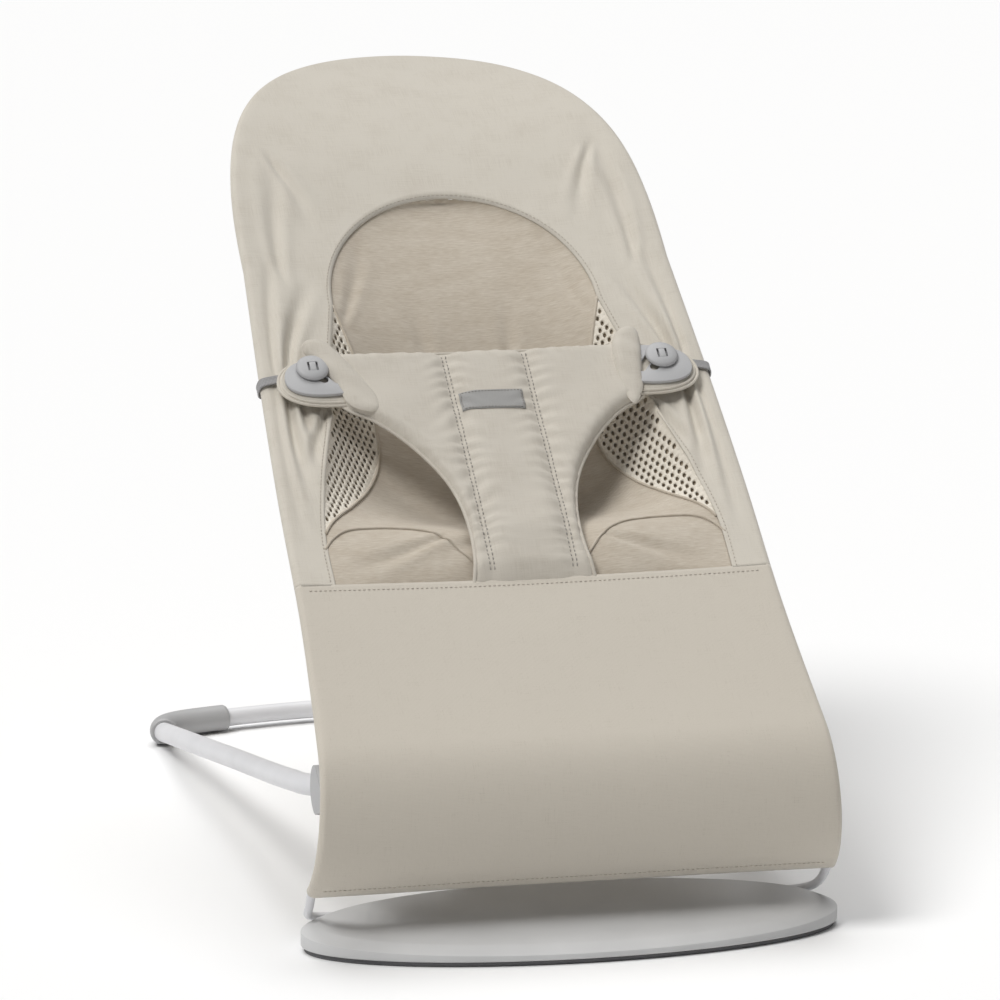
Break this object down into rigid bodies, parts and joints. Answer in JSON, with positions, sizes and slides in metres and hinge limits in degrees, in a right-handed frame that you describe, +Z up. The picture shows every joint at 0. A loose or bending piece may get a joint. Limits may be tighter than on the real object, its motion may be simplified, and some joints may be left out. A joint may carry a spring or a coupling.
{
  "type": "bouncer seat",
  "caption": "Baby bouncer seat: a fabric sling with padded restraint on a sprung wire loop, an oval foot plate in front and a folding tube leg behind.",
  "frame": {"origin": "middle of the footprint, on the floor", "axes": "+Z up, -Y the front of the seat (the child's feet), +Y the rear bar, X across the seat"},
  "size_m": [0.396, 0.79, 0.5641],
  "materials": {
    "cotton": "matte woven cotton, warm beige",
    "jersey": "heathered jersey knit, warm beige",
    "air_mesh": "open spacer mesh, cream",
    "webbing": "flat grey webbing",
    "label": "plain woven grey patch",
    "frame_paint": "light grey powder coat",
    "grey_plastic": "matte moulded plastic, light grey",
    "plate_plastic": "finely textured plastic, light grey",
    "rubber": "matte grey rubber",
    "bare_steel": "zinc plated steel"
  },
  "bodies": {
    "root": {"base_wire_run": "frame_paint", "base_wire_right": "frame_paint", "base_wire_left": "frame_paint", "hinge_housing_outer_right": "grey_plastic", "hinge_housing_outer_left": "grey_plastic", "hinge_housing_inner_right": "grey_plastic", "hinge_housing_inner_left": "grey_plastic", "housing_screw_right": "bare_steel", "housing_screw_left": "bare_steel", "hinge_pin_right": "bare_steel", "hinge_pin_left": "bare_steel", "click_spring_right": "bare_steel", "click_spring_left": "bare_steel", "leg_rest_hem": "cotton"},
    "foot": {"foot_plate": "plate_plastic", "foot_grip_pad": "rubber", "wire_clip_1": "grey_plastic", "wire_clip_2": "grey_plastic", "wire_clip_3": "grey_plastic", "clip_screw_1": "bare_steel", "clip_screw_2": "bare_steel", "clip_screw_3": "bare_steel"},
    "legs": {"leg_hub_right": "grey_plastic", "leg_hub_left": "grey_plastic", "leg_tube_right": "frame_paint", "leg_tube_left": "frame_paint", "leg_elbow_right": "grey_plastic", "leg_elbow_left": "grey_plastic", "elbow_pad_right": "rubber", "elbow_pad_left": "rubber", "rear_bar": "frame_paint"},
    "seat": {"seat_wire_right": "frame_paint", "seat_wire_left": "frame_paint", "seat_wire_arch": "frame_paint", "leg_rest_panel": "cotton", "border_panel": "cotton", "jersey_panel": "jersey", "air_mesh_right": "air_mesh", "air_mesh_left": "air_mesh", "restraint": "cotton", "flap_right": "cotton", "flap_left": "cotton", "button_right": "grey_plastic", "button_left": "grey_plastic", "webbing_right": "webbing", "webbing_left": "webbing", "label_patch": "label"},
    "tab_right": {"tab_right": "grey_plastic"},
    "tab_left": {"tab_left": "grey_plastic"},
    "tongue_right": {"button_tongue_right": "grey_plastic"},
    "tongue_left": {"button_tongue_left": "grey_plastic"}
  },
  "joints": [
    {"name": "foot_pivot", "type": "hinge", "parent": "root", "child": "foot", "pos_m": [0, -0.282, 0.015], "axis": [1, 0, 0], "range_deg": [-3, 20]},
    {"name": "leg_fold", "type": "hinge", "parent": "root", "child": "legs", "pos_m": [0, -0.326, 0.12], "axis": [1, 0, 0], "range_deg": [0, 38], "deforming": ["click_spring_right", "click_spring_left"]},
    {"name": "seat_bounce", "type": "hinge", "parent": "root", "child": "seat", "pos_m": [0, -0.33661, 0.14186], "axis": [1, 0, 0], "range_deg": [-5, 2], "stiffness_Nm_per_rad": 200, "springref_deg": 1.03},
    {"name": "tab_slide_right", "type": "slide", "parent": "seat", "child": "tab_right", "axis": [0.5736, 0.6627, 0.4815], "range_m": [0, 0.006]},
    {"name": "tab_slide_left", "type": "slide", "parent": "seat", "child": "tab_left", "axis": [-0.5736, 0.6627, 0.4815], "range_m": [0, 0.006]},
    {"name": "tongue_press_right", "type": "slide", "parent": "seat", "child": "tongue_right", "axis": [0, 0.5878, -0.809], "range_m": [0, 0.0007], "stiffness_N_per_m": 800},
    {"name": "tongue_press_left", "type": "slide", "parent": "seat", "child": "tongue_left", "axis": [0, 0.5878, -0.809], "range_m": [0, 0.0007], "stiffness_N_per_m": 800}
  ]
}
